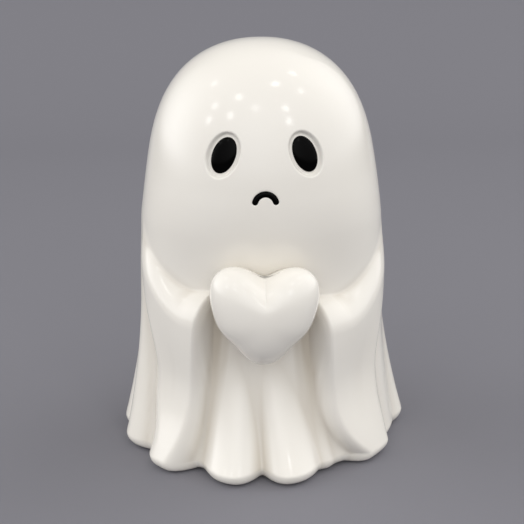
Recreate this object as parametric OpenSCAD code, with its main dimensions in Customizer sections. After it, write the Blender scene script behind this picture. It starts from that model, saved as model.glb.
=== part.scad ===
// Ceramic ghost figure: a hollow, slip-cast and glazed sheet ghost with a heart in its sleeves.
// The front looks along -Y and +X is at the viewer's right. The origin is on the table, under the
// middle of the figure from front to back. Angles round the figure start at the front and grow to
// the right, and are taken about the upright line through the middle of the head.

/* [Figure] */
// Overall height, from the table to the crown
figure_h = 250; // [220:1:280]
// Thickness of the cast wall
wall_t = 5; // [4:0.5:6]
// Thickness of the closed floor
floor_t = 5; // [4:0.5:7]
// Radius of the vent hole in the floor
vent_r = 8; // [5:0.5:12]
// Softness of the creases where two forms run together
crease_soft = 1.4; // [1:0.1:2]

/* [Head] */
// Half of the head's width
head_half_w = 71.1; // [70:0.1:73]
// From the middle to the front of the head
head_front = 66.5; // [65:0.5:69]
// From the middle to the back of the head
head_back = 65; // [62:0.5:68]
// Height at which the crown starts to close
crown_z = 145; // [140:1:150]
// How much fuller the sheet is at the sides, below the head
side_full = 2.7; // [1:0.1:4]
// How far the sheet falls back under the belly
belly_tuck = 11; // [9:0.5:12]
// Height at which the belly is fullest
belly_z = 168; // [160:1:175]
// Height at which the sheet under the belly is deepest
tuck_z = 96; // [90:1:100]

/* [Hem] */
// Height at which the skirt starts to spread
spread_z = 98; // [90:1:105]
// Spread of the hem at the sides
side_spread = 11.5; // [10:0.5:14]
// Spread of the hem at the front
front_spread = 17.5; // [14:0.5:19]
// Spread of the hem at the back
back_spread = 11; // [9:0.5:14]
// Depth of the front folds at the hem
fold_depth = 15.9; // [12:0.1:17]
// Radius under the edge of the hem
hem_round = 7; // [5:0.5:8]
// Height below which the hem swings out to the toes of the sleeves
hem_swing_z = 45; // [35:1:55]

/* [Sleeves] */
// Height of the sleeves' inner corners, beside the heart
cuff_z = 115; // [110:1:118]
// From the middle of the figure to the outside of a sleeve
sleeve_reach = 77.5; // [75:0.5:80]
// How much farther it reaches at its toe
toe_lean = 11; // [9:0.5:12]
// Height at which a sleeve starts to run out to its toe
toe_z = 60; // [50:1:70]
// How much nearer the sleeve lies at the shoulder
shoulder_drop = 5.8; // [4:0.1:7]
// Height of the crease between belly and sleeve, beside the heart
crease_z = 112.5; // [110:0.5:116]
// How far that crease climbs on its way to the shoulder
crease_climb = 66; // [60:1:70]
// Height over which the top of a sleeve rounds down
sleeve_roll = 19; // [16:1:22]
// How much nearer the middle the sleeve's hollow face lies
sleeve_sag = 3; // [1:0.5:4]

/* [Heart] */
// Half of the heart's width
heart_half_w = 31.1; // [29:0.1:32]
// Height of the heart's middle
heart_z = 107; // [104:0.5:109]
// Place of the heart's middle across the figure
heart_x = -2.2; // [-3:0.1:0]
// Lean of the heart's top to the viewer's right, in degrees
heart_lean = 2; // [0:0.5:4]
// From the middle of the figure to the heart's flat back
heart_back = 56; // [55:0.5:57]
// From the flat back to the widest outline
heart_rim = 16; // [14:0.5:18]
// From the flat back to the front of the heart
heart_t = 36; // [34:0.5:38]
// Clearance round the heart in its seat
seat_clear = 0.3; // [0.2:0.05:0.5]

/* [Face] */
// Place of the face's middle across the figure
face_x = -0.5; // [-2:0.5:1]
// Height of the eyes' middles
eye_z = 193; // [188:0.5:198]
// Distance between the eyes' middles
eye_gap = 46; // [42:0.5:50]
// Length of a black oval
eye_l = 20.9; // [18:0.1:23]
// Width of a black oval
eye_w = 13.3; // [11:0.1:14]
// Width of the bevelled rim round a black oval
eye_bevel = 3.2; // [2:0.1:4]
// Depth of the eye recess
eye_depth = 2.4; // [2:0.1:3]
// Height of the black oval's dome above the recess floor
eye_dome = 1.9; // [1:0.1:2.2]
// Lean of the eyes' tops towards the middle, in degrees
eye_lean = 20; // [10:1:25]
// Clearance between the black glaze and the sides of its recess
glaze_clear = 0.15; // [0.1:0.05:0.3]
// Height of the middle of the mouth's arc
mouth_z = 166; // [162:0.5:170]
// Radius of the mouth's arc
mouth_r = 6; // [5:0.1:7]
// Thickness of the mouth's line
mouth_line = 3.1; // [2.5:0.1:3.5]
// Half of the angle that the mouth spans, in degrees
mouth_half = 74; // [60:1:80]

/* [Foot pads] */
// Diameter of a felt pad
pad_d = 14; // [10:0.5:18]
// Thickness of a felt pad
pad_t = 1; // [0.8:0.1:2]
// From the middle of the foot to a pad's middle
pad_reach = 56; // [50:1:60]

/* [Hidden] */

// Mesh of the cast surfaces: columns round the figure and rows up it
columns = 100;
hem_rows = 4;
wall_rows = 32;
crown_rows = 10;
cavity_columns = 40;
cavity_rows = 16;
heart_columns = 46;
heart_rows = 9;
back_rows = 3;
oval_facets = 32;
bar_facets = 12;
bar_rows = 14;
cap_rows = 3;
// Rows of the wall draw together round this share of its height, by this share
row_middle_share = 0.66;
row_pinch_share = 0.06;
// Courses of the columns: share of the columns, and angles at the cuffs, below them and at the hem
column_shares = [
    [0.00, -180, -180, -180], [0.16, -90, -86, -77], [0.21, -82, -58, -67], [0.25, -70, -46, -55],
    [0.34, -31, -39, -49], [0.39, -26.5, -31.5, -37.5], [0.45, -20, -18.4, -14],
    [0.51, -7, -5.5, -2], [0.56, 1, 3.5, 10], [0.60, 12, 14, 29], [0.64, 22, 25, 45],
    [0.69, 26, 36, 55], [0.78, 73, 60, 62], [0.82, 85, 72, 75], [0.87, 105, 100, 97],
    [1.00, 180, 180, 180]];

// Shape of the crown: a superellipse that closes a little faster than a dome, from a soft start
crown_power = 4;
crown_root = 2.14;
crown_taper_share = 0.17;
crown_soft_share = 0.15;
// Shares of the figure's height between which the fuller sides start
full_from_share = 0.42;
full_to_share = 0.76;
// Power of the superellipse that a level cut through the sheet follows, and its loss at the hem
plan_power = 2.15;
plan_power_loss = 0.35;
// How late the skirt's spread sets in, at the sides, the front and the back
side_power = 1.9;
front_power = 2;
back_power = 1.5;

// Folds of the sheet, one row each: angle at the hem, angle at the top, height of the top as a
// share of the figure, depth at the hem as a share of the fold depth, half angle to either side,
// and the power of the depth's growth
fold_shares = [
    [-15.4, -21.0, 0.42, 1.02, 19.5, 13.0, 1.6],
    [  8.2,  -1.0, 0.42, 0.97, 12.5, 20.5, 1.6],
    [ 29.0,  23.0, 0.34, 0.15,  7.0,  7.0, 1.2],
    [-77.0, -86.0, 0.60, 0.46, 13.0, 13.0, 1.25],
    [-100,  -103,  0.56, 0.53, 13.0, 13.0, 1.25],
    [-127,  -126,  0.52, 0.58, 14.0, 14.0, 1.25],
    [-154,  -152,  0.58, 0.55, 14.0, 14.0, 1.25],
    [ 179,   178,  0.50, 0.58, 14.0, 14.0, 1.25],
    [ 152,   153,  0.58, 0.55, 14.0, 14.0, 1.25],
    [ 125,   126,  0.52, 0.58, 14.0, 14.0, 1.25],
    [  98,   101,  0.56, 0.61, 13.0, 13.0, 1.25]];
// A fold's side falls at least this share of the fold depth below the sheet, and its top sinks by
// the second share. Above the top it goes on sinking by the third share of the height.
fold_side_share = 0.3;
fold_sink_share = 0.1;
fold_end_share = 0.17;

// Sleeves, left and right: inner edge at the cuff, its swing below the cuff and at the toe, outer
// edge, its swing at the shoulder and at the toe, middle of the toe (all angles), the toe's spread
// at its outer side as a share of the reach, and how much lower its crease lies as a share of its
// height
sleeve_shares = [
    [27.0, 5, 6, 54.5, 33, 10, 50, 0.05, 0],
    [22.5, 3, 20, 69, 18, 2.5, 62, 0, 0.04]];
// Powers by which the cloth swings out below the cuffs, and at the hem
cuff_power = 6;
hem_swing_power = 2;
// The outer edge swings out to the shoulder between these shares of the cuff's height
swing_from_share = 0.5;
swing_to_share = 1.25;
// The toe runs out with this power, swells by this share of the reach over this angle, and spreads
// to the side between two angles
toe_power = 1.8;
toe_share = 0.03;
toe_width = 16;
toe_from = 50;
toe_to = 80;
toe_swing_share = 3;
// A sleeve's front is hollow over this half angle
sag_width = 14;
// How far the edges fall as a share of the reach, over how many degrees, and with what power. The
// inner edge is narrow at the cuff and widens below it, down to a share of the cuff's height.
edge_in_share = 0.28;
edge_in_width = 4;
edge_in_growth = 9;
edge_in_to_share = 0.6;
edge_out_share = 0.1;
edge_out_width = 9;
edge_power = 2;
// Angles over which a sleeve lies nearer at the shoulder
shoulder_from = 60;
shoulder_to = 100;
// The crease starts to climb at this angle and takes this many degrees
climb_from = 40;
climb_over = 50;
climb_power = 1.65;
// The sleeve's top rounds down to this share of the head's front, and falls on past it with this
// slope. Its roll grows between two angles.
crease_depth_share = 0.87;
top_slope = 1.5;
roll_from = 60;
roll_to = 95;
roll_growth_share = 1.5;

// The hollow follows the folds by this share of the least height within so many degrees and shares
// of the wall up and down. It keeps clear of the heart's seat up to the first share of the heart's
// half width above and below it, and no more beyond the second.
cavity_follow_share = 0.8;
cavity_look = 6;
cavity_look_share = 3;
near_share = 1.3;
far_share = 2.2;
// Half angle at the front over which it keeps clear of the seat
front_cone = 60;

// Heart outline: the waves that make up its distance from its middle, as shares of half its width.
// The cleft fades towards the front, where only the first few waves are left.
heart_wave_shares = [0.916, -0.014, -0.068, -0.145, -0.037, -0.038, 0.008];
front_waves = 3;
cleft_power = 0.6;
// Size of the heart where it enters its seat, as a share of the widest outline
heart_neck_share = 0.86;
// How far the middle of the mouth's bar lies under the surface, as a share of its thickness
mouth_sink_share = 0.2;

function clamp01(x) = min(1, max(0, x));
function ease(a, b, x) = let (s = clamp01((x - a) / (b - a))) s * s * (3 - 2 * s);
function bell(x, width) = exp(-pow(x / width, 2));
function turn(a) = let (b = (a + 540) % 360) (b < 0 ? b + 360 : b) - 180;
function sum(v, i = 0) = i < len(v) ? v[i] + sum(v, i + 1) : 0;
function spaced(v, n) = [for (i = [0:n - 1]) v * i / n];

// The bare form under the folds: crown, belly and spreading skirt
function crown_share(z) = let (u = clamp01((z - crown_z) / (figure_h - crown_z)))
    pow(1 - pow(u, crown_power), 1 / crown_root)
    * (1 - crown_taper_share * u * u / (u + crown_soft_share));
function spread_share(z, power) = pow(clamp01(1 - z / spread_z), power);
function core_r(a, z) = let (
        c = crown_share(z),
        w = head_half_w * c + side_spread * spread_share(z, side_power)
            + side_full * (1 - ease(full_from_share * figure_h, full_to_share * figure_h, z)),
        front = head_front * c - belly_tuck * (1 - ease(tuck_z, belly_z, z))
            + front_spread * spread_share(z, front_power),
        back = head_back * c + back_spread * spread_share(z, back_power),
        d = cos(a) > 0 ? front : back,
        n = plan_power - plan_power_loss * spread_share(z, 1))
    pow(pow(abs(sin(a)) / w, n) + pow(abs(cos(a)) / d, n), -1 / n);

// Height of one fold above the bare form
function fold_rise(a, z, f) = let (
        top = f[2] * figure_h,
        grow = clamp01(1 - z / top),
        depth = f[3] * fold_depth * pow(grow, f[6]),
        off = turn(a - f[0] - (f[1] - f[0]) * ease(0, top, z)),
        q = pow(off / (off < 0 ? f[4] : f[5]), 2))
    depth - (depth + fold_side_share * fold_depth) * q - fold_sink_share * fold_depth * (1 - grow)
        - fold_end_share * max(0, z - top);

// How far the cloth has swung out below the cuffs, and near the hem
function below_cuff(z) = 1 - pow(clamp01(z / cuff_z), cuff_power);
function near_hem(z) = pow(clamp01(1 - z / hem_swing_z), hem_swing_power);

// Distance of a sleeve's outside from the middle of the figure
function sleeve_r(a, z, side) = let (
        e = sleeve_shares[side < 0 ? 0 : 1],
        b = turn(a * side),
        inner = e[0] + e[1] * below_cuff(z) + e[2] * near_hem(z),
        outer = e[3] + e[4] * ease(swing_from_share * cuff_z, swing_to_share * cuff_z, z)
            + e[5] * clamp01(1 - z / (toe_swing_share * hem_round)),
        toe = e[7] * ease(toe_from, toe_to, b) + toe_share * bell(b - e[6], toe_width),
        sag = sleeve_sag * pow(sin(180 * clamp01(z / cuff_z)), 2)
            * bell(b - (inner + outer) / 2, sag_width),
        reach = sleeve_reach + (toe_lean + sleeve_reach * toe) * pow(clamp01(1 - z / toe_z), toe_power)
            - shoulder_drop * ease(shoulder_from, shoulder_to, b),
        climb = crease_climb * pow(clamp01((b - climb_from) / climb_over), climb_power),
        roll = sleeve_roll * (1 + roll_growth_share * ease(roll_from, roll_to, b)),
        past = max(0, z - crease_z * (1 - e[8]) - climb + roll) / roll,
        top = (reach - crease_depth_share * head_front)
            * (1 - sqrt(1 - pow(clamp01(past), 2)) + top_slope * max(0, past - 1)),
        edge_in = edge_in_width + edge_in_growth * (1 - ease(edge_in_to_share * cuff_z, cuff_z, z)),
        inside = edge_in_share * sleeve_reach * pow(max(0, inner + edge_in - b) / edge_in, edge_power),
        outside = edge_out_share * sleeve_reach
            * pow(max(0, b - outer + edge_out_width) / edge_out_width, edge_power))
    reach - sag - top - inside - outside;

// The glazed outside: the highest form wins, and the creases between forms stay soft
function over(h) = exp(min(40, max(-40, h / crease_soft)));
function skin_r(a, z) = let (c = core_r(a, z))
    c + crease_soft * ln(1 + sum([for (f = fold_shares) over(fold_rise(a, z, f))])
        + over(sleeve_r(a, z, -1) - c) + over(sleeve_r(a, z, 1) - c));

// The columns follow the cloth: they run down beside the folds and the edges of the sleeves
function course(place) = [for (c = column_shares) [c[0], c[place]]];
function column_angles(n, z) = let (swing = below_cuff(z), toe = near_hem(z))
    [for (s = spaced(1, n)) let (middle = lookup(s, course(2)))
        lookup(s, course(1)) * (1 - swing) + middle * swing + (lookup(s, course(3)) - middle) * toe];
function ring(angles, radii, z) = [for (i = [0:len(angles) - 1])
    [radii[i] * sin(angles[i]), -radii[i] * cos(angles[i]), z]];
function skin_ring(z) = let (angles = column_angles(columns, z))
    ring(angles, [for (a = angles) skin_r(a, z)], z);

// Where the figure stands: its box lies evenly before and behind the origin
foot_z = pad_t;
hem_top = foot_z + hem_round;
shift_y = (heart_back + heart_t - max([for (p = skin_ring(hem_top)) p[1]])) / 2;

// Faces of a stack of rings, closed by a flat face below and a point above. The fields are cut
// along one diagonal in the first half of a ring and along the other in the second half, as the
// creases climb to both sides.
function field(a, b, c, d, first) = first ? [[a, d, b], [d, c, b]] : [[a, d, c], [a, c, b]];
function stack_faces(rings, n) = concat(
    [[for (i = [0:n - 1]) i]],
    [for (k = [0:rings - 2], i = [0:n - 1]) let (j = (i + 1) % n, low = k * n, high = low + n)
        each field(low + i, low + j, high + j, high + i, i < n / 2)],
    [for (i = [0:n - 1]) [(rings - 1) * n + i, rings * n, (rings - 1) * n + (i + 1) % n]]);
module stack(rings, tip) polyhedron(concat([for (r = rings) each r], [tip]),
    stack_faces(len(rings), len(rings[0])), convexity = 8);

module cast_form() {
    angles = column_angles(columns, hem_top);
    hem = [for (t = spaced(90, hem_rows)) ring(angles,
        [for (a = angles) skin_r(a, hem_top) - hem_round * (1 - sin(t))], hem_top - hem_round * cos(t))];
    wall = [for (s = spaced(1, wall_rows)) let (
            pinch = sin(360 * (s - row_middle_share)) + sin(360 * row_middle_share))
        skin_ring(hem_top + (belly_z - hem_top) * (s - row_pinch_share * pinch))];
    crown = [for (t = spaced(90, crown_rows)) skin_ring(belly_z + (figure_h - belly_z) * sin(t))];
    stack(concat(hem, wall, crown), [0, 0, figure_h]);
}

// The hollow that is left when the slip is poured out: it follows the folds weakly, and it stays
// behind the floor of the heart's seat
function cavity_r(a, z) = let (
        c = core_r(a, z),
        away = ease(near_share, far_share, abs(z - heart_z) / heart_half_w),
        limit = heart_back - wall_t + head_front * away,
        lift = min([for (d = [-1:1], h = [-1:1]) let (
                b = a + d * cavity_look,
                y = min(figure_h, z + h * cavity_look_share * wall_t))
            skin_r(b, y) - core_r(b, y)]),
        r = c + cavity_follow_share * lift - wall_t)
    abs(a) < front_cone ? min(r, limit / cos(a)) : r;
module cavity() {
    low = foot_z + floor_t;
    high = figure_h - wall_t;
    stack([for (t = spaced(90, cavity_rows)) let (
            z = low + (figure_h - low) * sin(t),
            angles = column_angles(cavity_columns, z))
        ring(angles, [for (a = angles) cavity_r(a, z)], low + (high - low) * sin(t))], [0, 0, high]);
}

// Distance of the heart's outline from its middle, at an angle from straight up
function heart_r(a, waves) = heart_half_w
    * sum([for (k = [0:waves - 1]) heart_wave_shares[k] * cos(k * a)]);
function heart_points(share, cleft, grow) = [for (a = spaced(-360, heart_columns)) let (
        full = heart_r(a, len(heart_wave_shares)),
        r = share * (cleft * full + (1 - cleft) * heart_r(a, front_waves)) + grow)
    [heart_x + r * sin(a + heart_lean), heart_z + r * cos(a + heart_lean)]];
function heart_ring(share, cleft, reach) = [for (p = heart_points(share, cleft, 0)) [p[0], -reach, p[1]]];

// The seat: the flat foot of the heart sinks into the belly, and the cuffs stop at its outline
module seat_cut(share, reach) translate([0, seat_clear - reach, 0]) rotate([90, 0, 0])
    linear_extrude(heart_t) polygon(heart_points(share, 1, seat_clear));
module heart_seat() {
    seat_cut(heart_neck_share, heart_back);
    seat_cut(1, heart_back + heart_rim / 2);
}

module heart_form() {
    rim_y = heart_back + heart_rim;
    foot = heart_ring(heart_neck_share, 1, heart_back);
    flank = [for (t = spaced(90, back_rows)) heart_ring(
        heart_neck_share + (1 - heart_neck_share) * sin(t), 1, rim_y - heart_rim / 2 * cos(t))];
    front = [for (t = spaced(90, heart_rows)) heart_ring(
        cos(t), pow(cos(t), cleft_power), rim_y + (heart_t - heart_rim) * sin(t))];
    stack(concat([foot], flank, front), [heart_x, -heart_back - heart_t, heart_z]);
}

// A point of the outside, and the frame of axes that lies on it there: right, up and outwards
function skin_point(a, z) = let (r = skin_r(a, z)) [r * sin(a), -r * cos(a), z];
function face_angle(x, z, tries = 5, a = 0) = tries == 0 ? a
    : face_angle(x, z, tries - 1, asin(x / skin_r(a, z)));
function unit(v) = v / norm(v);
module on_face(x, z) {
    a = face_angle(x, z);
    step = hem_round / 4;
    right = unit(skin_point(a + 1, z) - skin_point(a - 1, z));
    out = unit(cross(right, skin_point(a, z + step) - skin_point(a, z - step)));
    up = cross(out, right);
    p = skin_point(a, z);
    multmatrix([
        [right[0], up[0], out[0], p[0]],
        [right[1], up[1], out[1], p[1]],
        [right[2], up[2], out[2], p[2]],
        [0, 0, 0, 1]])
        children();
}

// An eye's place, with its top leaning to the middle; side is -1 at the viewer's left
module at_eye(side) on_face(face_x + side * eye_gap / 2, eye_z)
    rotate([0, 0, side * eye_lean]) translate([0, 0, -eye_depth]) children();
function oval_ring(grow, z) = [for (t = spaced(360, oval_facets))
    [(eye_w / 2 + grow) * cos(t), (eye_l / 2 + grow) * sin(t), z]];
module eye_recess() {
    past = eye_dome / eye_depth;
    top = eye_depth + eye_dome;
    stack([oval_ring(glaze_clear, 0), oval_ring(glaze_clear + eye_bevel * (1 + past), top)], [0, 0, top]);
}
module eye(side) color("black") set_down() at_eye(side)
    scale([eye_w / 2, eye_l / 2, eye_dome]) intersection() {
        sphere(r = 1, $fn = oval_facets);
        translate([-1, -1, 0]) cube([2, 2, 1]);
    }

// The mouth's line: a bent round bar with round ends, sunk into the face
function bar_ring(t, past, r) = [for (s = spaced(360, bar_facets)) let (
        out = mouth_r + r * cos(s))
    [out * sin(t) + past * cos(t), out * cos(t) - past * sin(t), r * sin(s)]];
module mouth_bar(r) {
    caps = spaced(90, cap_rows);
    start = [for (t = caps) bar_ring(-mouth_half, -r * cos(t), r * sin(t + 90 / cap_rows / 2))];
    bend = [for (t = spaced(2 * mouth_half, bar_rows)) bar_ring(t - mouth_half, 0, r)];
    end = [for (t = caps) bar_ring(mouth_half, r * sin(t), r * cos(t))];
    tip = [mouth_r * sin(mouth_half) + r * cos(mouth_half), mouth_r * cos(mouth_half) - r * sin(mouth_half)];
    stack(concat(start, bend, end), [each tip, 0]);
}
module at_mouth() on_face(face_x, mouth_z) translate([0, 0, -mouth_sink_share * mouth_line]) children();

module set_down() translate([0, shift_y, 0]) children();

module body_shell() color("ivory") set_down() difference() {
    cast_form();
    cavity();
    heart_seat();
    for (side = [-1, 1]) at_eye(side) eye_recess();
    at_mouth() mouth_bar(mouth_line / 2);
    cylinder(r = vent_r, h = foot_z + floor_t + wall_t, $fn = oval_facets);
}

module heart() color("ivory") set_down() heart_form();

module mouth() color("black") set_down() at_mouth() mouth_bar(mouth_line / 2 - glaze_clear);

module foot_pad(i) color("gray") set_down() rotate([0, 0, 45 + 90 * i])
    translate([pad_reach, 0, 0]) cylinder(d = pad_d, h = pad_t, $fn = oval_facets);

body_shell();
heart();
eye(-1);  // left_eye
eye(1);  // right_eye
mouth();
for (i = [1:4]) foot_pad(i);
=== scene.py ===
import math

import bpy
import numpy as np
from mathutils import Matrix, Quaternion, Vector


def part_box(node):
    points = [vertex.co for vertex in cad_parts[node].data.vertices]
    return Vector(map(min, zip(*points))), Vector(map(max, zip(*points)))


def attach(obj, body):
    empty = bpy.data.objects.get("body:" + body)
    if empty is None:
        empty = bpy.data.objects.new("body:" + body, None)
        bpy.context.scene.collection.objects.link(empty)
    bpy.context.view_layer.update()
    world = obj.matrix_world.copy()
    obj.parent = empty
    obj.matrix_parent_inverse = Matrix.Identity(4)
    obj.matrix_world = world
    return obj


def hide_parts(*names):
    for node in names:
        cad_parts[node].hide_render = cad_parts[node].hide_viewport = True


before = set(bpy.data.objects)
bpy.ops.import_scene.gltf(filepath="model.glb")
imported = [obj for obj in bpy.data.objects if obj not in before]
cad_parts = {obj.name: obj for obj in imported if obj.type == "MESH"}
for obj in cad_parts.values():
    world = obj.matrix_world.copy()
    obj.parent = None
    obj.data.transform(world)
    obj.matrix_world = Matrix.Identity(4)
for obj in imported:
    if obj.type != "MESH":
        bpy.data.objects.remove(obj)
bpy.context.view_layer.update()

# Sheet body

# The real piece is one hollow cast of white earthenware: slip is poured into a plaster mould, left
# for a 5 mm wall and poured out. The draped sheet, its folds and both sleeves come out of the same
# mould, the eyes and the mouth are pressed into the clay, and the whole is dipped in glossy glaze.

MM = 0.001
# Sizes are in mm and angles in degrees, to the right of the front: here the whole height, the pads'
# thickness, the cast's wall and floor, and the radii of its vent hole and of the hem's lower edge
FIGURE_H, PAD_T, WALL_T, FLOOR_T, VENT_R, HEM_ROUND = 250.0, 1.0, 5.0, 5.0, 8.0, 7.0
# The cloth swings out below the cuffs, and once more from this height down to the hem
CUFF_Z, HEM_SWING_Z = 115.0, 45.0


def clamp01(x):
    return np.clip(x, 0, 1)


def ease(a, b, x):
    s = clamp01((x - a) / (b - a))
    return s * s * (3 - 2 * s)


def bell(x, width):
    return np.exp(-(x / width) ** 2)


def turned(a):
    return (a + 180) % 360 - 180


def paired(a, z):
    """Angles in degrees and heights in mm as arrays of one shape."""
    return np.broadcast_arrays(np.asarray(a, float), np.asarray(z, float))


def below_cuff(z):
    """How far the cloth has swung out on its way from the cuffs to the middle of the skirt."""
    return 1 - clamp01(z / CUFF_Z) ** 6


def near_hem(z):
    return clamp01(1 - z / HEM_SWING_Z) ** 2


# The head, and the crown above CROWN_Z: it closes as a superellipse and tapers on its way up
HEAD_HALF_W, HEAD_FRONT, HEAD_BACK, CROWN_Z = 71.1, 66.5, 65.0, 145.0
CROWN_UP_POWER, CROWN_IN_POWER, CROWN_TAPER, TAPER_START = 4, 2.14, 0.17, 0.15
# The sides are a little fuller under the head, and the belly is tucked in under the face
SIDE_FULL, FULL_LOW_Z, FULL_HIGH_Z = 2.7, 105, 190
BELLY_TUCK, TUCK_Z, BELLY_Z = 11.0, 96.0, 168.0
# The skirt spreads below SPREAD_Z, with a power that says how late it does so
SPREAD_Z = 98.0
SIDE_SPREAD, SIDE_POWER = 11.5, 1.9
FRONT_SPREAD, FRONT_POWER = 18.4, 2.6
BACK_SPREAD, BACK_POWER = 11.0, 1.5
# Power of the superellipse at each level, and how much of it is lost down to the hem
LEVEL_POWER, LEVEL_POWER_LOSS = 2.15, 0.35


def core_r(a, z):
    """The bare form: crown, belly and spreading skirt."""
    a, z = paired(a, z)
    u = clamp01((z - CROWN_Z) / (FIGURE_H - CROWN_Z))
    crown = (1 - u ** CROWN_UP_POWER) ** (1 / CROWN_IN_POWER) * (1 - CROWN_TAPER * u * u / (u + TAPER_START))
    low = clamp01(1 - z / SPREAD_Z)
    fuller = SIDE_FULL * (1 - ease(FULL_LOW_Z, FULL_HIGH_Z, z))
    tuck = BELLY_TUCK * (1 - ease(TUCK_Z, BELLY_Z, z))
    half_w = HEAD_HALF_W * crown + fuller + SIDE_SPREAD * low ** SIDE_POWER
    front = HEAD_FRONT * crown - tuck + FRONT_SPREAD * low ** FRONT_POWER
    back = HEAD_BACK * crown + BACK_SPREAD * low ** BACK_POWER
    c, s = np.cos(np.radians(a)), np.sin(np.radians(a))
    depth = np.where(c > 0, front, back)
    n = LEVEL_POWER - LEVEL_POWER_LOSS * low
    tiny = 1e-6
    across, forward = np.abs(s) / np.maximum(half_w, tiny), np.abs(c) / np.maximum(depth, tiny)
    return (across ** n + forward ** n) ** (-1 / n)


FOLD_DEPTH = 15.9
# Each fold: angle at the hem and at its top, height of the top and depth at the hem as shares of
# the figure and of the fold depth, its half angle to either side, and the power of its growth
FOLDS = [
    (-15.4, -21.0, 0.42, 1.08, 19.5, 13.0, 2.3), (8.2, -1.0, 0.42, 1.03, 12.5, 20.5, 2.3),
    (29.0, 23.0, 0.34, 0.15, 7.0, 7.0, 1.2), (-77.0, -86.0, 0.60, 0.46, 13.0, 13.0, 1.25),
    (-100.0, -103.0, 0.56, 0.53, 13.0, 13.0, 1.25), (-127.0, -126.0, 0.52, 0.58, 14.0, 14.0, 1.25),
    (-154.0, -152.0, 0.58, 0.55, 14.0, 14.0, 1.25), (179.0, 178.0, 0.50, 0.58, 14.0, 14.0, 1.25),
    (152.0, 153.0, 0.58, 0.55, 14.0, 14.0, 1.25), (125.0, 126.0, 0.52, 0.58, 14.0, 14.0, 1.25),
    (98.0, 101.0, 0.56, 0.61, 13.0, 13.0, 1.25)]
# A fold falls to its sides by at least this share of the fold depth. Where it fades it sinks under
# the bare form by the second share, and above its top by a slope.
FOLD_SIDE_SHARE, FOLD_SINK_SHARE, FOLD_TOP_SLOPE = 0.3, 0.1, 0.17


def fold_rise(a, z, fold):
    hem, above, top_share, depth_share, left, right, power = fold
    top = top_share * FIGURE_H
    grow = clamp01(1 - z / top)
    depth = depth_share * FOLD_DEPTH * grow ** power
    off = turned(a - hem - (above - hem) * ease(0, top, z))
    q = (off / np.where(off < 0, left, right)) ** 2
    sink = FOLD_SINK_SHARE * FOLD_DEPTH * (1 - grow) + FOLD_TOP_SLOPE * np.maximum(0, z - top)
    return depth - (depth + FOLD_SIDE_SHARE * FOLD_DEPTH) * q - sink


# Each sleeve, left and right: inner edge at the cuff, its sweep below the cuff and its sweep at the
# toe, outer edge, its swing at the shoulder and at the toe, middle of the toe, spread of the toe,
# how much lower its crease lies, and how far its toe leans out
SLEEVES = [
    (27.0, 5.0, 6.0, 66.5, 18.0, -5.5, 50.0, 0.050, 0.0, 11.0),
    (22.5, 3.0, 20.0, 69.0, 18.0, 1.5, 62.0, 0.0, 0.04, 7.0)]
# The outer edge swings back to the shoulder between two heights, as shares of the cuff's, and at
# the toe between two more
SHOULDER_LOW_SHARE, SHOULDER_HIGH_SHARE = 0.5, 1.25
TOE_SWING_LOW_Z, TOE_SWING_HIGH_Z = 15, 45
# The toe juts out below TOE_Z: a small bulge in its middle, and more between two angles outside
SLEEVE_REACH, TOE_Z, TOE_POWER = 77.5, 60.0, 1.8
TOE_BULGE_SHARE, TOE_BULGE_TURN, TOE_OUT_FROM, TOE_OUT_TO = 0.03, 16, 50, 80
# The sleeve lies closer in at the shoulder, sags in along its middle and is slimmer half way down
SHOULDER_DROP, DROP_FROM, DROP_TO = 5.8, 60, 100
SLEEVE_SAG, SAG_TURN = 2.0, 14
SLEEVE_WAIST, WAIST_Z, WAIST_H, WAIST_FROM, WAIST_TO = 3.5, 50, 28, 50, 75
# The crease over the sleeve climbs round the side. The sleeve rolls over into it, to a share of the
# head's depth, and goes on at a slope under the bare form.
CREASE_Z, CREASE_CLIMB, CLIMB_FROM, CLIMB_TURN, CLIMB_POWER = 112.5, 66.0, 40, 50, 1.65
SLEEVE_ROLL, ROLL_GROWTH, ROLL_FROM, ROLL_TO = 19.0, 1.5, 60, 95
CREASE_SHARE, CREASE_SLOPE = 0.87, 1.5
# Widths of the sleeve's rounded edges in degrees, and their drop as shares of the reach
EDGE_TURN, EDGE_TURN_LOW, EDGE_TURN_HEM, EDGE_LOW_SHARE, EDGE_HIGH_SHARE = 3.5, 4.5, 4, 0.3, 0.8
INNER_DROP_SHARE, OUTER_DROP_SHARE, OUTER_EDGE_TURN = 0.28, 0.1, 9
# Above this height the sleeves fall away at one more slope, so that the crown shows none of them
SLEEVE_END_Z, SLEEVE_END_SLOPE = 200, 0.5


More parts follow.
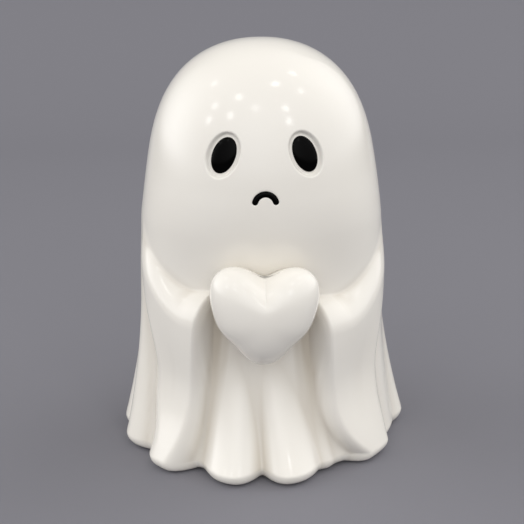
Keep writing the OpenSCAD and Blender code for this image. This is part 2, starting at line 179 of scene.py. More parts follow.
def sleeve_r(a, z, side):
    sleeve = SLEEVES[0 if side < 0 else 1]
    edge, sweep, toe_sweep, rim, swing, toe_swing, toe_mid, toe_out, lower, lean = sleeve
    b = turned(a * side)
    inner = edge + sweep * below_cuff(z) + toe_sweep * near_hem(z)
    shoulder = ease(SHOULDER_LOW_SHARE * CUFF_Z, SHOULDER_HIGH_SHARE * CUFF_Z, z)
    outer = rim + swing * shoulder + toe_swing * (1 - ease(TOE_SWING_LOW_Z, TOE_SWING_HIGH_Z, z))
    toe = TOE_BULGE_SHARE * bell(b - toe_mid, TOE_BULGE_TURN) + toe_out * ease(TOE_OUT_FROM, TOE_OUT_TO, b)
    jut = (lean + SLEEVE_REACH * toe) * clamp01(1 - z / TOE_Z) ** TOE_POWER
    reach = SLEEVE_REACH + jut - SHOULDER_DROP * ease(DROP_FROM, DROP_TO, b)
    sag = SLEEVE_SAG * np.sin(np.pi * clamp01(z / CUFF_Z)) ** 2 * bell(b - (inner + outer) / 2, SAG_TURN)
    waist = SLEEVE_WAIST * bell(z - WAIST_Z, WAIST_H) * (1 - ease(WAIST_FROM, WAIST_TO, b))
    climb = CREASE_CLIMB * clamp01((b - CLIMB_FROM) / CLIMB_TURN) ** CLIMB_POWER - lower * CREASE_Z
    roll = SLEEVE_ROLL * (1 + ROLL_GROWTH * ease(ROLL_FROM, ROLL_TO, b))
    over_rim = np.maximum(0, z - CREASE_Z - climb + roll) / roll
    rolled = 1 - np.sqrt(1 - clamp01(over_rim) ** 2) + CREASE_SLOPE * np.maximum(0, over_rim - 1)
    top = (reach - CREASE_SHARE * HEAD_FRONT) * rolled
    lower_half = 1 - ease(EDGE_LOW_SHARE * CUFF_Z, EDGE_HIGH_SHARE * CUFF_Z, z)
    edge_in = EDGE_TURN + EDGE_TURN_LOW * lower_half + EDGE_TURN_HEM * near_hem(z)
    inside = INNER_DROP_SHARE * SLEEVE_REACH * (np.maximum(0, inner + edge_in - b) / edge_in) ** 2
    past_outer = np.maximum(0, b - outer + OUTER_EDGE_TURN) / OUTER_EDGE_TURN
    outside = OUTER_DROP_SHARE * SLEEVE_REACH * past_outer ** 2
    end = SLEEVE_END_SLOPE * np.maximum(0, z - SLEEVE_END_Z)
    return reach - waist - sag - top - inside - outside - end


# The creases are as soft as melted glaze leaves them, and a little softer towards the hem
CREASE_SOFT, HEM_SOFTER, SOFTER_LOW_Z, SOFTER_HIGH_Z = 1.4, 0.7, 30, 100


def skin(a, z):
    """Distance of the cast's outside from its axis in mm, and how deep in a crease the point lies."""
    a, z = paired(a, z)
    core = core_r(a, z)
    forms = [np.zeros_like(core)] + [fold_rise(a, z, fold) for fold in FOLDS]
    forms += [sleeve_r(a, z, side) - core for side in (-1, 1)]
    soft = CREASE_SOFT + HEM_SOFTER * (1 - ease(SOFTER_LOW_Z, SOFTER_HIGH_Z, z))
    # A form far below the highest one has no say, and this keeps its exponential in range
    limit = 40
    heights = np.clip(np.array(forms) / soft, -limit, limit)
    top = heights.max(axis=0)
    merged = top + np.log(np.exp(heights - top).sum(axis=0))
    return core + soft * merged, (merged - top) / math.log(2)


# The axis of the cast lies this far behind the front of the heart, a little behind the origin
HEART_REACH = 92.0
SHIFT_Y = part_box("heart")[0][1] / MM + HEART_REACH


def at(a, r, z):
    """Points in metres from angles round the figure, radii and heights in mm."""
    a, r, z = np.broadcast_arrays(np.radians(a), r, z)
    return np.stack([r * np.sin(a), SHIFT_Y - r * np.cos(a), z], axis=-1) * MM


def skin_at(a, z):
    return at(a, skin(a, z)[0], z)


def face_frame(x, z):
    """A place on the front of the face, x mm to the right: its point, and right, up, outwards."""
    a = 0.0
    for _ in range(6):
        a = math.degrees(math.asin(x / skin([a], z)[0][0]))
    p = Vector(skin_at(a, z))
    turn_step, rise_step = 1, 1.75
    right = (Vector(skin_at(a + turn_step, z)) - Vector(skin_at(a - turn_step, z))).normalized()
    rise = Vector(skin_at(a, z + rise_step)) - Vector(skin_at(a, z - rise_step))
    out = right.cross(rise).normalized()
    return p, Matrix((right, out.cross(right), out)).transposed()


# Where the clay is pressed in: a bevelled oval with a flat ledge for each eye, a groove for the mouth
FACE_X, EYE_Z, EYE_GAP, EYE_LEAN = -0.5, 193.0, 46.0, 20.0
EYE_W, EYE_L, LEDGE, BEVEL, EYE_DEPTH, BEVEL_SOFT_SHARE = 13.3, 20.9, 1.7, 1.2, 2.3, 0.09
MOUTH_Z, MOUTH_R, MOUTH_LINE, MOUTH_HALF = 166.0, 6.0, 3.6, 74.0
MOUTH_DEPTH, GROOVE_FLAT_SHARE, GROOVE_SIDE_SHARE, GROOVE_SOFT_SHARE = 1.0, 0.25, 0.3, 0.15
# How far round the middle of an eye or the mouth the face is pressed, and how far in front of it
# or behind it a point may lie
EYE_NEAR, EYE_NEAR_DEPTH, MOUTH_NEAR, MOUTH_NEAR_DEPTH = 25, 15, 14, 10


def eye_frame(side):
    p, axes = face_frame(FACE_X + side * EYE_GAP / 2, EYE_Z)
    return p, axes @ Matrix.Rotation(math.radians(side * EYE_LEAN), 3, "Z")


def on_face(points, place):
    """The points in mm from a place on the face: to the right, up and outwards."""
    p, axes = place
    return np.moveaxis((points - np.array(p)) @ np.array(axes) / MM, -1, 0)


def oval_r(phi, half_w, half_l):
    """How far the edge of an oval is from its middle, in the direction phi."""
    return 1 / np.hypot(np.cos(phi) / half_w, np.sin(phi) / half_l)


def soft_ramp(t, soft):
    """0 below t = 0 and 1 above t = 1, with rounded corners."""
    return soft * (np.logaddexp(0, t / soft) - np.logaddexp(0, (t - 1) / soft))


def pressed_depth(points):
    """How far each point of the face is pressed in at the eyes and the mouth, in mm."""
    depth = np.zeros(points.shape[:-1])
    for side in (-1, 1):
        x, y, out = on_face(points, eye_frame(side))
        near = (np.hypot(x, y) < EYE_NEAR) & (np.abs(out) < EYE_NEAR_DEPTH)
        phi = np.arctan2(y, x)
        inner = oval_r(phi, EYE_W / 2 + LEDGE, EYE_L / 2 + LEDGE)
        outer = oval_r(phi, EYE_W / 2 + LEDGE + BEVEL, EYE_L / 2 + LEDGE + BEVEL)
        recess = EYE_DEPTH * (1 - soft_ramp((np.hypot(x, y) - inner) / (outer - inner), BEVEL_SOFT_SHARE))
        depth = np.where(near, np.maximum(depth, recess), depth)
    x, y, out = on_face(points, face_frame(FACE_X, MOUTH_Z))
    near = (np.hypot(x, y) < MOUTH_NEAR) & (np.abs(out) < MOUTH_NEAR_DEPTH)
    turn = np.radians(np.clip(np.degrees(np.arctan2(x, y)), -MOUTH_HALF, MOUTH_HALF))
    away = np.hypot(x - MOUTH_R * np.sin(turn), y - MOUTH_R * np.cos(turn))
    slope = (away - GROOVE_FLAT_SHARE * MOUTH_LINE) / (GROOVE_SIDE_SHARE * MOUTH_LINE)
    groove = MOUTH_DEPTH * (1 - soft_ramp(slope, GROOVE_SOFT_SHARE))
    return np.where(near, np.maximum(depth, groove), depth)


def spread_over(low, high, step):
    """Places between low and high, as far apart as step says for each of them."""
    fine = np.linspace(low, high, 4000)
    count = np.concatenate([[0], np.cumsum(np.diff(fine) / step((fine[1:] + fine[:-1]) / 2))])
    n = int(round(count[-1]))
    return np.interp(np.linspace(0, count[-1], n + 1), count, fine)


# Degrees between two columns of the mesh: at the front, at the sides and at the back
FRONT_STEP, SIDE_STEP, BACK_STEP, FRONT_TURN, SIDE_TURN = 0.36, 0.5, 1.2, 33, 95
# Millimetres between two rows: at the face, at the belly and at the skirt
FACE_ROW, BELLY_ROW, SKIRT_ROW, FACE_LOW_Z, FACE_HIGH_Z, SKIRT_Z = 0.42, 0.75, 0.95, 156.0, 211.0, 90


def column_step(a):
    behind_front = np.where(np.abs(a) < SIDE_TURN, SIDE_STEP, BACK_STEP)
    return np.where(np.abs(a) < FRONT_TURN, FRONT_STEP, behind_front)


def row_step(z):
    return np.where(z > FACE_LOW_Z, FACE_ROW, np.where(z > SKIRT_Z, BELLY_ROW, SKIRT_ROW))


# The columns run down beside the folds and the sleeves' edges, as the cloth does
TURNS_CUFF = [-180, -90, -82, -70, -31, -26.5, -20, -7, 1, 12, 22, 26, 73, 85, 105, 180]
TURNS_MIDDLE = [-180, -86, -58, -46, -43, -31.5, -18.4, -5.5, 3.5, 14, 25, 38, 60, 72, 100, 180]
TURNS_HEM = [-180, -77, -67, -55, -50.5, -37.5, -14, -2, 10, 29, 45, 57, 62, 75, 97, 180]
column_turns = spread_over(-180, 180, column_step)[:-1]


def columns(z):
    cuff, middle, hem = (np.interp(column_turns, TURNS_CUFF, turns)
        for turns in (TURNS_CUFF, TURNS_MIDDLE, TURNS_HEM))
    return cuff + (middle - cuff) * below_cuff(z) + (hem - middle) * near_hem(z)


def mesh_piece(name, verts, faces, materials):
    mesh = bpy.data.meshes.new(name)
    mesh.from_pydata(verts, [], faces)
    for material in materials:
        mesh.materials.append(material)
    mesh.polygons.foreach_set("use_smooth", np.ones(len(mesh.polygons), dtype=bool))
    mesh.update()
    piece = bpy.data.objects.new(name, mesh)
    bpy.context.scene.collection.objects.link(piece)
    return piece


def ring_mesh(name, rings, materials, tip=None):
    """A closed skin over rings of points in metres, with a fan of triangles at either end."""
    rings = np.array(rings)
    rows, n = rings.shape[:2]
    tip = rings[-1].mean(axis=0) if tip is None else tip
    verts = np.concatenate([rings.reshape(-1, 3), [tip, rings[0].mean(axis=0)]])
    row = np.arange(rows - 1)[:, None] * n
    i = np.arange(n)[None, :]
    j = (i + 1) % n
    quads = np.stack([row + i, row + j, row + n + j, row + n + i], axis=-1).reshape(-1, 4)
    last = (rows - 1) * n
    end = [(last + k, last + (k + 1) % n, len(verts) - 2) for k in range(n)]
    start = [((k + 1) % n, k, len(verts) - 1) for k in range(n)]
    return mesh_piece(name, verts.tolist(), quads.tolist() + end + start, materials)


def linear(hex_colour):
    """An sRGB hex colour as linear red, green, blue and 1."""
    parts = [int(hex_colour[i:i + 2], 16) / 255 for i in (1, 3, 5)]
    return tuple(c / 12.92 if c <= 0.04045 else ((c + 0.055) / 1.055) ** 2.4 for c in parts) + (1.0,)


def without_nodes(owner):
    """The new material or world, emptied for nodes of its own."""
    owner.use_nodes = True
    owner.node_tree.nodes.clear()
    return owner


def add_node(owner, kind, settings=None, inputs=None, links=None):
    """Adds a node: attributes, socket values, and links given as {input: (node, output)}."""
    made = owner.node_tree.nodes.new(kind)
    for key, value in (settings or {}).items():
        setattr(made, key, value)
    for key, value in (inputs or {}).items():
        made.inputs[key].default_value = value
    for key, (source, output) in (links or {}).items():
        owner.node_tree.links.new(source.outputs[output], made.inputs[key])
    return made


# Glazed earthenware: a warm white, opaque glaze over a cream body. It is painted a little darker in
# the creases and hollows, partly for the glaze that pools there and partly as painted shade, and has
# the faint waviness of a dipped glaze in its reflections. The glaze's thickness drifts over some
# 40 mm, and its waves are some 6 mm from crest to crest.
GLAZE_DRIFT, GLAZE_WAVE = 40.0, 6.25
glazed = without_nodes(bpy.data.materials.new("glazed_earthenware"))
place = add_node(glazed, "ShaderNodeTexCoord")
pool_and_shade = add_node(glazed, "ShaderNodeAttribute", {"attribute_name": "glaze_pool_and_shade"})
drift = add_node(glazed, "ShaderNodeTexNoise",
    inputs={"Scale": 1 / (GLAZE_DRIFT * MM), "Detail": 2.0}, links={"Vector": (place, "Object")})
tone = add_node(glazed, "ShaderNodeMix", {"data_type": "RGBA"},
    {"A": linear("#f2eee6"), "B": linear("#eee9e0")}, {"Factor": (drift, "Fac")})
# Painted shade: creases and hollows are tinted darker, partly for glaze pooled there and partly as painted
# shade
pooled_and_shaded = add_node(glazed, "ShaderNodeMix", {"data_type": "RGBA"},
    {"B": linear("#cfc6b7")}, {"Factor": (pool_and_shade, "Fac"), "A": (tone, "Result")})
wavy = add_node(glazed, "ShaderNodeTexNoise",
    inputs={"Scale": 1 / (GLAZE_WAVE * MM), "Detail": 1.0}, links={"Vector": (place, "Object")})
bump = add_node(glazed, "ShaderNodeBump",
    inputs={"Strength": 0.25, "Distance": 0.06 * MM}, links={"Height": (wavy, "Fac")})
satin = add_node(glazed, "ShaderNodeMapRange",
    inputs={"To Min": 0.09, "To Max": 0.15}, links={"Value": (drift, "Fac")})
glaze_shader = add_node(glazed, "ShaderNodeBsdfPrincipled", inputs={"IOR": 1.5},
    links={"Base Color": (pooled_and_shaded, "Result"), "Roughness": (satin, "Result"), "Normal": (bump, "Normal")})
add_node(glazed, "ShaderNodeOutputMaterial", links={"Surface": (glaze_shader, "BSDF")})

# Bisque: the fired clay without glaze, matt and cream, under the foot and inside. Its grains are
# drawn a little over 0.5 mm wide, coarser than the real ones so that they show.
BISQUE_GRAIN = 5 / 9
bisque = without_nodes(bpy.data.materials.new("bisque_earthenware"))
place = add_node(bisque, "ShaderNodeTexCoord")
grain = add_node(bisque, "ShaderNodeTexNoise",
    inputs={"Scale": 1 / (BISQUE_GRAIN * MM), "Detail": 3.0}, links={"Vector": (place, "Object")})
clay = add_node(bisque, "ShaderNodeMix", {"data_type": "RGBA"},
    {"A": linear("#e2d8c6"), "B": linear("#cdbfa8")}, {"Factor": (grain, "Fac")})
rough = add_node(bisque, "ShaderNodeBump",
    inputs={"Strength": 0.4, "Distance": 0.1 * MM}, links={"Height": (grain, "Fac")})
clay_shader = add_node(bisque, "ShaderNodeBsdfPrincipled", inputs={"Roughness": 0.85},
    links={"Base Color": (clay, "Result"), "Normal": (rough, "Normal")})
add_node(bisque, "ShaderNodeOutputMaterial", links={"Surface": (clay_shader, "BSDF")})

# The hollow follows this share of the folds and sleeves, and of those only what is there over so
# many degrees and millimetres to every side, because the slip fills what is narrow
HOLLOW_SHARE, HOLLOW_TURN, HOLLOW_RISE, HOLLOW_LEAST_R = 0.8, 6, 12, 0.5
# Behind the heart's seat the hollow is flat: within SEAT_TURN it reaches no further than
# SEAT_BEHIND. Above and below the seat this ends between two distances, as shares of the seat's
# half width.
SEAT_Z, SEAT_HALF_W, SEAT_BEHIND, SEAT_TURN = 106, 31.1, 51, 60
SEAT_NEAR_SHARE, SEAT_FAR_SHARE = 1.3, 2.2


def hollow_r(a, z):
    lifts = []
    for near_z in (z - HOLLOW_RISE, z, z + HOLLOW_RISE):
        near_z = min(FIGURE_H, near_z)
        for near_a in (a - HOLLOW_TURN, a, a + HOLLOW_TURN):
            lifts.append(skin(near_a, near_z)[0] - core_r(near_a, near_z))
    r = core_r(a, z) + HOLLOW_SHARE * np.min(lifts, axis=0) - WALL_T
    away = ease(SEAT_NEAR_SHARE, SEAT_FAR_SHARE, abs(z - SEAT_Z) / SEAT_HALF_W)
    turn = np.minimum(np.abs(a), SEAT_TURN)
    flat = (SEAT_BEHIND + HEAD_FRONT * away) / np.cos(np.radians(turn))
    return np.maximum(np.where(np.abs(a) < SEAT_TURN, np.minimum(r, flat), r), HOLLOW_LEAST_R)


def inside_rows(foot_a, foot_w):
    """Rows of points down the hollow, over its floor, down the vent and out to the hem."""
    low, high = PAD_T + FLOOR_T, FIGURE_H - WALL_T
    rows = []
    for t in np.radians(np.linspace(88, 0, 60)):
        z = low + (FIGURE_H - low) * math.sin(t)
        a = columns(z)
        rows.append(at(a, hollow_r(a, z), low + (high - low) * math.sin(t)))
    floor_share = 0.9
    rows += [at(foot_a, VENT_R + share * foot_w * floor_share, low) for share in np.linspace(0.9, 0, 10)]
    edge = 1
    rows += [at(foot_a, VENT_R, z) for z in np.linspace(low - edge, PAD_T, 4)]
    rows += [at(foot_a, VENT_R + share * foot_w, PAD_T) for share in np.linspace(0, 1, 24)[1:-1]]
    return rows


# The glaze is painted darker in the creases and in the hollows between two folds, partly for glaze
# that pools there and partly as painted shade; the hollows less so towards the hem. A hollow is where
# the skin lies further out, on average, at these turns to either side: it starts at the first height
# in mm and is full after the second.
BESIDE_TURNS, HOLLOW_START, HOLLOW_FULL = (-11, -6, 6, 11), 0.5, 8
CREASE_POOL_SHADE, HOLLOW_POOL_SHADE, HOLLOW_POOL_SHADE_UP, HOLLOW_SHADE_FROM_Z, HOLLOW_SHADE_FULL_Z = 0.3, 0.4, 0.7, 10, 75


def outside_rows():
    """Rows of points from the foot round the hem and up to the crown, and the pooled glaze and painted shade
    there.
    """
    hem_top = PAD_T + HEM_ROUND
    hem_a = columns(hem_top)
    hem_r, hem_crease = skin(hem_a, hem_top)
    rows, pools_and_shade = [], []
    for t in np.radians(np.linspace(0, 90, 13)[:-1]):
        rows.append(at(hem_a, hem_r - HEM_ROUND * (1 - math.sin(t)), hem_top - HEM_ROUND * math.cos(t)))
        pools_and_shade.append(CREASE_POOL_SHADE * hem_crease * math.sin(t))
    crown_turns = np.radians(np.linspace(0, 89, 60))
    heights = np.concatenate([spread_over(hem_top, FACE_HIGH_Z, row_step)[:-1],
        FACE_HIGH_Z + (FIGURE_H - FACE_HIGH_Z) * np.sin(crown_turns)])
    for z in heights:
        a = columns(z)
        r, crease = skin(a, z)
        rows.append(at(a, r, z))
        # Painted shade: a hollow between folds is darkened by how far the skin beside it stands out
        beside = np.mean([skin(a + turn, z)[0] for turn in BESIDE_TURNS], axis=0)
        most = HOLLOW_POOL_SHADE + HOLLOW_POOL_SHADE_UP * ease(HOLLOW_SHADE_FROM_Z, HOLLOW_SHADE_FULL_Z, z)
        pools_and_shade.append(CREASE_POOL_SHADE * crease + clamp01((beside - r - HOLLOW_START) / HOLLOW_FULL) * most)
    return np.array(rows), np.array(pools_and_shade)


def press_face(rows):
    """Presses the eyes and the mouth straight in along the face's own direction."""
    depth = pressed_depth(rows)
    along = np.gradient(rows, axis=1)
    along[:, 0] = rows[:, 1] - rows[:, -1]
    along[:, -1] = rows[:, 0] - rows[:, -2]
    normal = np.cross(along, np.gradient(rows, axis=0))
    normal /= np.maximum(np.linalg.norm(normal, axis=-1, keepdims=True), 1e-12)
    return rows - normal * (depth * MM)[..., None]


def body_piece():
    n = len(column_turns)
    hem_top = PAD_T + HEM_ROUND
    foot_w = skin(columns(hem_top), hem_top)[0] - HEM_ROUND - VENT_R
    inner = inside_rows(columns(hem_top), foot_w)
    outer, pools_and_shade = outside_rows()
    rings = np.clip(np.concatenate([inner, press_face(outer)]), *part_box("body_shell"))
    piece = ring_mesh("sheet_body", rings, [glazed, bisque], [0, SHIFT_Y * MM, FIGURE_H * MM])
    bare = np.repeat(np.arange(len(rings) - 1) < len(inner) - 1, n)
    slots = np.concatenate([bare.astype(int), np.zeros(n, int), np.ones(n, int)])
    piece.data.polygons.foreach_set("material_index", slots)
    # The painted shade and pooled glaze go on the outside points only; the hollow inside gets none
    pooled_and_shaded_points = np.concatenate([np.zeros(len(inner) * n), clamp01(pools_and_shade).reshape(-1), [0, 0]])
    layer = piece.data.attributes.new("glaze_pool_and_shade", "FLOAT", "POINT")
    layer.data.foreach_set("value", pooled_and_shaded_points.astype(np.float32))
    return piece


sheet_body = body_piece()
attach(sheet_body, "root")
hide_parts("body_shell")

# Heart

# A puffy heart, cast on its own in the same slip and luted onto the belly between the sleeve ends
# while the clay is leather hard. It is glazed together with the body.

HEART_HALF_W, HEART_X, HEART_Z, HEART_LEAN = 31.1, -2.2, 107.0, 2.0
# Thickness of the whole heart and of its rounded rim, and the width of its flat back as a share
# of the widest
HEART_T, HEART_RIM, HEART_BACK_SHARE = 36.0, 16.0, 0.86
# The groove that runs down the front from the cleft, narrower where it fades
GROOVE_DEPTH, GROOVE_HALF_W, GROOVE_END, GROOVE_TOP, GROOVE_FADED_SHARE = 5.5, 2.6, 6.0, 24.0, 0.5
# Waves of the outline, as shares of half the width; only the first three are left at the front,
# and the power says how soon the others go
HEART_WAVE_SHARES = [0.916, -0.014, -0.068, -0.145, -0.037, -0.038, 0.008]
FRONT_WAVES, WAVE_POWER = 3, 0.6


def heart_outline(a, shares):
    return HEART_HALF_W * sum(share * np.cos(k * a) for k, share in enumerate(shares))


def heart_piece():
    a = -np.linspace(0, 2 * math.pi, 240, endpoint=False)
    full = heart_outline(a, HEART_WAVE_SHARES)
    smooth = heart_outline(a, HEART_WAVE_SHARES[:FRONT_WAVES])
    lean = math.radians(HEART_LEAN)
    back = HEART_REACH - HEART_T
    rim = back + HEART_RIM

    def ring(share, reach, cleft):
        """A ring of the outline at a reach from the axis, with cleft 1 for all of its waves."""
        r = share * (cleft * full + (1 - cleft) * smooth)
        y = np.full(len(a), SHIFT_Y - reach)
        return np.stack([HEART_X + r * np.sin(a + lean), y, HEART_Z + r * np.cos(a + lean)], axis=-1) * MM

    rings = [ring(HEART_BACK_SHARE, back, 1)]
    for t in np.radians(np.linspace(0, 90, 16)[:-1]):
        share = HEART_BACK_SHARE + (1 - HEART_BACK_SHARE) * math.sin(t)
        rings.append(ring(share, rim - HEART_RIM / 2 * math.cos(t), 1))
    for t in np.radians(np.linspace(0, 89, 64)):
        reach = rim + (HEART_T - HEART_RIM) * math.sin(t)
        rings.append(ring(math.cos(t), reach, math.cos(t) ** WAVE_POWER))
    points = np.array(rings)
    across, up = points[..., 0] / MM - HEART_X, points[..., 2] / MM - HEART_Z
    sideways = np.abs(across * math.cos(lean) - up * math.sin(lean))
    fade = ease(GROOVE_END, GROOVE_TOP, up)
    in_front = points[..., 1] < (SHIFT_Y - rim) * MM
    groove = fade * np.exp(-sideways / (GROOVE_HALF_W * (GROOVE_FADED_SHARE + fade)))
    points[..., 1] += GROOVE_DEPTH * MM * groove * in_front
    tip = [HEART_X * MM, (SHIFT_Y - HEART_REACH) * MM, HEART_Z * MM]
    return ring_mesh("puffy_heart", points, [glazed], tip)


puffy_heart = heart_piece()
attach(puffy_heart, "root")
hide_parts("heart")

# Eyes

# Black glaze, laid thick into each pressed oval with a brush. It melts into a low glossy dome that
# stops short of the bevel, so a thin white ledge stays round it.

# Black gloss glaze: nearly black all over and smooth, with soft dips some 3 mm across that the
# brush has left. Its low specular level keeps the pale room from greying it.
BRUSH_MARK = 20 / 7
black = without_nodes(bpy.data.materials.new("black_gloss_glaze"))
place = add_node(black, "ShaderNodeTexCoord")
brushed = add_node(black, "ShaderNodeTexNoise",
    inputs={"Scale": 1 / (BRUSH_MARK * MM), "Detail": 2.0}, links={"Vector": (place, "Object")})
ink = add_node(black, "ShaderNodeMix", {"data_type": "RGBA"},
    {"A": linear("#020202"), "B": linear("#050404")}, {"Factor": (brushed, "Fac")})
sheen = add_node(black, "ShaderNodeMapRange",
    inputs={"To Min": 0.08, "To Max": 0.16}, links={"Value": (brushed, "Fac")})
dips = add_node(black, "ShaderNodeBump",
    inputs={"Strength": 0.2, "Distance": 0.05 * MM}, links={"Height": (brushed, "Fac")})
black_shader = add_node(black, "ShaderNodeBsdfPrincipled", inputs={"IOR": 1.5, "Specular IOR Level": 0.05},
    links={"Base Color": (ink, "Result"), "Roughness": (sheen, "Result"), "Normal": (dips, "Normal")})
add_node(black, "ShaderNodeOutputMaterial", links={"Surface": (black_shader, "BSDF")})

# The dome's height, and how much its straight wall is stretched downwards: it ends below the recess
# floor, which follows the round of the face
EYE_DOME, EYE_WALL_SHARE = 1.5, 1.2


def eye_piece(side, name):
    """A flat-backed dome on the recess floor, steep at its edge as melted glaze is."""
    p, axes = eye_frame(side)
    phi = np.linspace(0, 2 * math.pi, 96, endpoint=False)
    rings = []
    for t in np.radians(np.linspace(-40, 88, 26)):
        share = math.cos(t) if t > 0 else 1.0
        height = EYE_DOME * math.sin(t) * (1.0 if t > 0 else EYE_WALL_SHARE)
        x, y = EYE_W / 2 * share * np.cos(phi), EYE_L / 2 * share * np.sin(phi)
        rings.append(np.stack([x, y, np.full(len(phi), height - EYE_DEPTH)], axis=-1))
    to_scene = np.array(axes).T
    tip = np.array(p) + np.array([0, 0, EYE_DOME - EYE_DEPTH]) * MM @ to_scene
    return ring_mesh(name, np.array(p) + np.array(rings) * MM @ to_scene, [black], tip)


for side, name in ((-1, "left_eye"), (1, "right_eye")):
    glaze_oval = eye_piece(side, name + "_glaze")
    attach(glaze_oval, "root")
    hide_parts(name)

# Mouth

# The same black glaze, run into the curved groove with a fine brush. It stands up a little in the
# middle of the line and ends round.

# Half the thickness of the line of glaze, and how deep under the face its middle lies
MOUTH_HALF_T, MOUTH_SINK = 0.95, 0.55


def mouth_piece():
    half = MOUTH_LINE / 2
    s = np.linspace(0, 2 * math.pi, 24, endpoint=False)[:, None]

    def ring(turn, past, size):
        """A flattened ring of the bar round a point of the arc, on the face as it lies there."""
        t = math.radians(turn)
        p, axes = face_frame(FACE_X + MOUTH_R * math.sin(t), MOUTH_Z + MOUTH_R * math.cos(t))
        right, up, out = np.array(axes).T
        away = math.sin(t) * right + math.cos(t) * up
        along = math.cos(t) * right - math.sin(t) * up
        height = MOUTH_HALF_T * size * np.sin(s) - MOUTH_SINK
        return np.array(p) + (size * half * np.cos(s) * away + past * along + height * out) * MM

    ends = np.radians([22, 44, 64, 80])
    rings = [ring(-MOUTH_HALF, -half * math.sin(t), math.cos(t)) for t in ends[::-1]]
    rings += [ring(turn, 0, 1) for turn in np.linspace(-MOUTH_HALF, MOUTH_HALF, 33)]
    rings += [ring(MOUTH_HALF, half * math.sin(t), math.cos(t)) for t in ends]
    return ring_mesh("mouth_glaze", rings, [black])


mouth_glaze = mouth_piece()
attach(mouth_glaze, "root")
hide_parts("mouth")

# Foot pads

# Four thin discs of self-adhesive wool felt, die cut and stuck under the unglazed foot, so that
# the figure doesn't scratch a shelf. The CAD solids are right as they are and get their felt.

# Wool felt: soft, quite matt and mottled grey. Its matted fibres are drawn 0.4 mm wide, because the
# real ones are too fine to show.
FELT_FIBRE = 0.4
felt = without_nodes(bpy.data.materials.new("wool_felt"))
place = add_node(felt, "ShaderNodeTexCoord")
fibres = add_node(felt, "ShaderNodeTexNoise",
    inputs={"Scale": 1 / (FELT_FIBRE * MM), "Detail": 4.0, "Distortion": 2.0},
    links={"Vector": (place, "Object")})
wool = add_node(felt, "ShaderNodeMix", {"data_type": "RGBA"},
    {"A": linear("#a9a69f"), "B": linear("#7f7c76")}, {"Factor": (fibres, "Fac")})
fuzz = add_node(felt, "ShaderNodeBump",
    inputs={"Strength": 0.6, "Distance": 0.2 * MM}, links={"Height": (fibres, "Fac")})
felt_shader = add_node(felt, "ShaderNodeBsdfPrincipled", inputs={"Roughness": 0.95, "Sheen Weight": 0.4},
    links={"Base Color": (wool, "Result"), "Normal": (fuzz, "Normal")})
add_node(felt, "ShaderNodeOutputMaterial", links={"Surface": (felt_shader, "BSDF")})
for i in range(1, 5):
    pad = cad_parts["foot_pad_%d" % i]
    pad.data.materials.clear()
    pad.data.materials.append(felt)

# Camera, backdrop and light

# The figure stands on a grey paper sweep. The camera is a little left of the front and looks down
# at the belly; eleven small ceiling lamps make the dots on the crown, and the rest is soft.

CAMERA_AWAY, CAMERA_H, CAMERA_SIDE, CAMERA_DOWN, CAMERA_ROLL = 660.0, 322.0, -2.5, 17.59, -0.6
FOCAL_PX, FRAME_PX = 1118.0, 524.0
side, down = math.radians(CAMERA_SIDE), math.radians(CAMERA_DOWN)
camera = bpy.data.objects.new("camera", bpy.data.cameras.new("camera"))
bpy.context.scene.collection.objects.link(camera)
camera.location = Vector(at(CAMERA_SIDE, CAMERA_AWAY, CAMERA_H))
look = Vector((-math.sin(side) * math.cos(down), math.cos(side) * math.cos(down), -math.sin(down)))
camera.rotation_mode = "QUATERNION"
camera.rotation_quaternion = look.to_track_quat("-Z", "Y") @ Quaternion((0, 0, 1), math.radians(CAMERA_ROLL))
camera.data.sensor_width = 36.0
camera.data.lens = FOCAL_PX / FRAME_PX * camera.data.sensor_width
bpy.context.scene.camera = camera

# Backdrop paper: uncoated, pulled from a roll and quite matt. It gives the eye an even grey with a
# faint tooth, two thirds of a millimetre wide.
PAPER_TOOTH = 2 / 3
paper = without_nodes(bpy.data.materials.new("grey_backdrop_paper"))
place = add_node(paper, "ShaderNodeTexCoord")
tooth = add_node(paper, "ShaderNodeTexNoise",
    inputs={"Scale": 1 / (PAPER_TOOTH * MM), "Detail": 2.0}, links={"Vector": (place, "Object")})
grey = add_node(paper, "ShaderNodeMix", {"data_type": "RGBA"},
    {"A": linear("#848389"), "B": linear("#807f85")}, {"Factor": (tooth, "Fac")})
paper_shader = add_node(paper, "ShaderNodeBsdfPrincipled",
    inputs={"Roughness": 0.9, "Specular IOR Level": 0.1}, links={"Base Color": (grey, "Result")})
add_node(paper, "ShaderNodeOutputMaterial", links={"Surface": (paper_shader, "BSDF")})

# The sweep in metres: a wide floor from far in front to a little behind the figure, which narrows
# to the paper's own width, then the curve and the upright sheet
FLOOR_FRONT, FLOOR_BACK, FLOOR_HALF_W = 6.0, 0.3, 6.0
CURVE_Y, CURVE_R, PAPER_HALF_W, PAPER_TOP = 0.9, 0.9, 1.2, 2.2
sweep = [(-FLOOR_FRONT, 0.0, FLOOR_HALF_W), (FLOOR_BACK, 0.0, FLOOR_HALF_W), (CURVE_Y, 0.0, PAPER_HALF_W)]
for t in np.radians(np.linspace(3, 87, 29)):
    sweep.append((CURVE_Y + CURVE_R * math.sin(t), CURVE_R - CURVE_R * math.cos(t), PAPER_HALF_W))
sweep += [(CURVE_Y + CURVE_R, z, PAPER_HALF_W) for z in (CURVE_R, PAPER_TOP)]
verts = [(x, y, z) for y, z, half_w in sweep for x in (-half_w, half_w)]
faces = [(2 * i, 2 * i + 1, 2 * i + 3, 2 * i + 2) for i in range(len(sweep) - 1)]
backdrop = mesh_piece("backdrop", verts, faces, [paper])

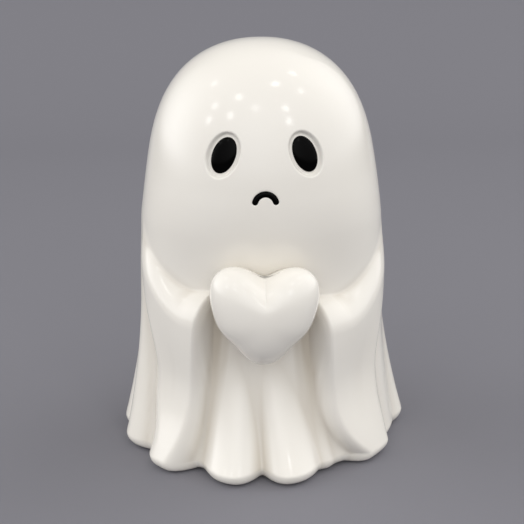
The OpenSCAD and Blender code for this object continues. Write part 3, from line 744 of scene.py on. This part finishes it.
# The lamps' directions from the crown, in degrees to the right of the front and above the level,
# and their shares of the light. Their size and distance are in metres, and their power in watts.
CEILING = [(-88, 55, 0.7), (-29, 53, 1.2), (-57, 40, 1.0), (-57, 28, 1.1), (-32, 35, 1.2), (-5, 43, 0.6),
    (29, 68, 1.5), (92, 67, 0.9), (59, 52, 0.8), (25, 41, 1.2), (25, 30, 1.2)]
LAMP_SIZE, LAMP_AWAY, LAMP_POWER = 0.14, 1.3, 0.22
LIT_FRONT, LIT_Z = 30, 215
crown = Vector((0, SHIFT_Y - LIT_FRONT, LIT_Z)) * MM


def toward(turn, rise):
    """The direction of a light: degrees to the right of the front, and above the level."""
    t, e = math.radians(turn), math.radians(rise)
    return Vector((math.sin(t) * math.cos(e), -math.cos(t) * math.cos(e), math.sin(e)))


for i, (turn, rise, strength) in enumerate(CEILING):
    light = bpy.data.lights.new("ceiling_%d" % (i + 1), "AREA")
    light.shape, light.size, light.energy = "DISK", LAMP_SIZE, LAMP_POWER * strength
    lamp = bpy.data.objects.new(light.name, light)
    bpy.context.scene.collection.objects.link(lamp)
    lamp.location = crown + LAMP_AWAY * toward(turn, rise)
    lamp.rotation_mode = "QUATERNION"
    lamp.rotation_quaternion = toward(turn, rise).to_track_quat("Z", "Y")

# The soft light of the room comes from seven broad patches: windows low at the left and the right,
# and pale walls and ceiling above. Each is given by its direction and its strength.
PATCHES = [(-98, 11, 3.1), (-50, 42, 0.45), (0, 20, 1.72), (50, 42, 0.35), (65, 12, 0.7),
    (110, 42, 1.12), (112, 13, 1.35)]
PATCH_SHARPNESS = 6.0
# They fade between two heights, as sines of the angle above the level, so that the far edge of the
# floor draws no line in the glaze
FADE_LOW, FADE_HIGH = -0.05, 0.12
world = without_nodes(bpy.data.worlds.new("soft_room"))
bpy.context.scene.world = world
sky = add_node(world, "ShaderNodeTexCoord")
total = None
for turn, rise, strength in PATCHES:
    facing = add_node(world, "ShaderNodeVectorMath", {"operation": "DOT_PRODUCT"},
        {1: toward(turn, rise)}, {0: (sky, "Generated")})
    fall = add_node(world, "ShaderNodeMath", {"operation": "MULTIPLY_ADD"},
        {1: PATCH_SHARPNESS, 2: math.log(strength) - PATCH_SHARPNESS}, {0: (facing, "Value")})
    patch = add_node(world, "ShaderNodeMath", {"operation": "EXPONENT"}, links={0: (fall, "Value")})
    total = patch if total is None else add_node(world, "ShaderNodeMath", {"operation": "ADD"},
        links={0: (total, "Value"), 1: (patch, "Value")})
height = add_node(world, "ShaderNodeSeparateXYZ", links={"Vector": (sky, "Generated")})
above_floor = add_node(world, "ShaderNodeMapRange", {"interpolation_type": "SMOOTHSTEP"},
    {"From Min": FADE_LOW, "From Max": FADE_HIGH, "To Min": 0.0, "To Max": 1.0}, {"Value": (height, "Z")})
faded = add_node(world, "ShaderNodeMath", {"operation": "MULTIPLY"},
    links={0: (total, "Value"), 1: (above_floor, "Result")})
room = add_node(world, "ShaderNodeBackground",
    inputs={"Color": linear("#ffffff")}, links={"Strength": (faded, "Value")})
# Where the camera looks past the paper, it sees a plain grey
seen = add_node(world, "ShaderNodeBackground", inputs={"Color": linear("#8e8d93")})
by_camera = add_node(world, "ShaderNodeLightPath")
both = add_node(world, "ShaderNodeMixShader",
    links={0: (by_camera, "Is Camera Ray"), 1: (room, "Background"), 2: (seen, "Background")})
add_node(world, "ShaderNodeOutputWorld", links={"Surface": (both, "Shader")})

bpy.context.scene.view_settings.view_transform = "Standard"
